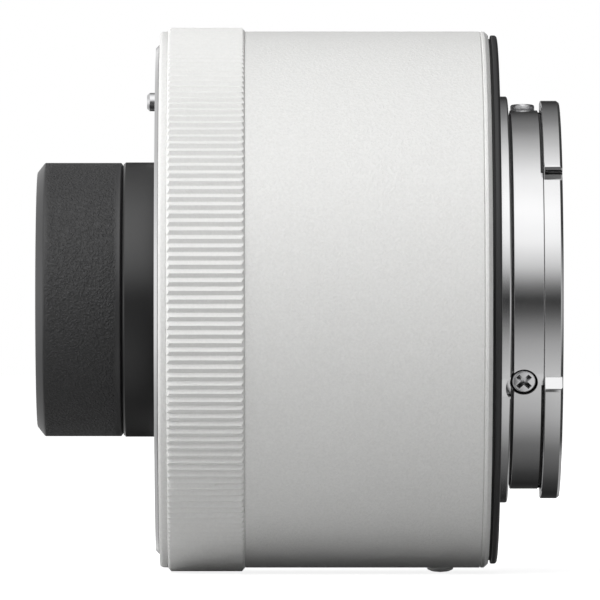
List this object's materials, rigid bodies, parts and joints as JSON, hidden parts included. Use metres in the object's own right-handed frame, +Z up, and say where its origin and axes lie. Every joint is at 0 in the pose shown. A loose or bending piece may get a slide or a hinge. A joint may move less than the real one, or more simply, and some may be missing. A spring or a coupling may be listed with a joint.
{
  "type": "camera teleconverter",
  "caption": "Short white camera teleconverter with a ribbed grip, black nose, metal bayonet mounts at both ends and a sliding lens release; enlarges the picture of the lens in front of it.",
  "frame": {"origin": "on the optical axis, in the plane of the rear mount face that rests on the camera", "axes": "+X along the optical axis towards the camera, +Z up; the picture looks along +Y with the nose to the left"},
  "size_m": [0.0589, 0.0616, 0.0617],
  "materials": {
    "white_paint": "warm white paint with a very fine texture",
    "white_plastic": "white, half gloss",
    "seal_rubber": "black, matt",
    "frame_metal": "black anodised",
    "mount_metal": "bright plated, finely turned",
    "screw_steel": "plated steel",
    "spring_steel": "plain spring steel",
    "bronze": "spring bronze",
    "contact_gold": "gold plated",
    "black_plastic": "matt black moulding",
    "black_grain": "black with a leather-like grain",
    "black_satin": "satin black",
    "knob_metal": "satin light grey",
    "flex_amber": "amber film",
    "board_green": "green solder mask",
    "chip_black": "matt black moulding",
    "connector_ivory": "ivory moulding",
    "glass": "coated optical glass"
  },
  "bodies": {
    "converter": {"main_barrel": "white_paint", "grip_ring": "white_paint", "front_cover": "white_paint", "rear_bezel": "white_paint", "rear_seal": "seal_rubber", "index_mark": "white_plastic", "chassis": "frame_metal", "front_mount": "mount_metal", "front_mount_screws": "screw_steel", "bayonet_spring": "bronze", "front_liner": "black_plastic", "lock_pin_spring": "spring_steel", "front_contact_block": "black_plastic", "contact_springs": "spring_steel", "front_flex_cable": "flex_amber", "rear_flex_cable": "flex_amber", "control_board": "board_green", "board_screws": "screw_steel", "control_chip": "chip_black", "board_connectors": "connector_ivory", "nose_cap": "black_grain", "lens_barrel": "black_satin", "lens_barrel_screws": "screw_steel", "lens_1": "glass", "lens_2": "glass", "lens_3": "glass", "lens_4": "glass", "lens_5": "glass", "lens_6": "glass", "lens_7": "glass", "lens_8": "glass", "front_lens_ring": "black_satin", "middle_clamp_ring": "black_satin", "front_spacer": "black_satin", "rear_spacer": "black_satin", "rear_lens_ring": "black_satin", "rear_mount": "mount_metal", "rear_mount_screws": "screw_steel", "neck_screws": "screw_steel", "rear_baffle": "black_plastic", "rear_contact_block": "black_plastic", "rear_contacts": "contact_gold"},
    "release": {"release_knob": "knob_metal", "release_slide": "spring_steel", "release_knob_screws": "screw_steel"},
    "lock": {"lock_pin": "screw_steel", "lock_pin_clip": "spring_steel"},
    "contacts": {"front_contact_pins": "contact_gold"}
  },
  "joints": [
    {"name": "release_slide", "type": "slide", "parent": "converter", "child": "release", "axis": [1, 0, 0], "range_m": [0, 0.0014], "stiffness_N_per_m": 400, "springref_m": -0.002},
    {"name": "lock_pin_slide", "type": "slide", "parent": "converter", "child": "lock", "axis": [1, 0, 0], "range_m": [0, 0.0014], "deforming": ["lock_pin_spring"]},
    {"name": "contact_press", "type": "slide", "parent": "converter", "child": "contacts", "axis": [1, 0, 0], "range_m": [0, 0.0007], "stiffness_N_per_m": 500, "springref_m": -0.002, "deforming": ["contact_springs"]}
  ],
  "couplings": [
    {"joint": "lock_pin_slide", "follows": "release_slide", "ratio": 1}
  ]
}
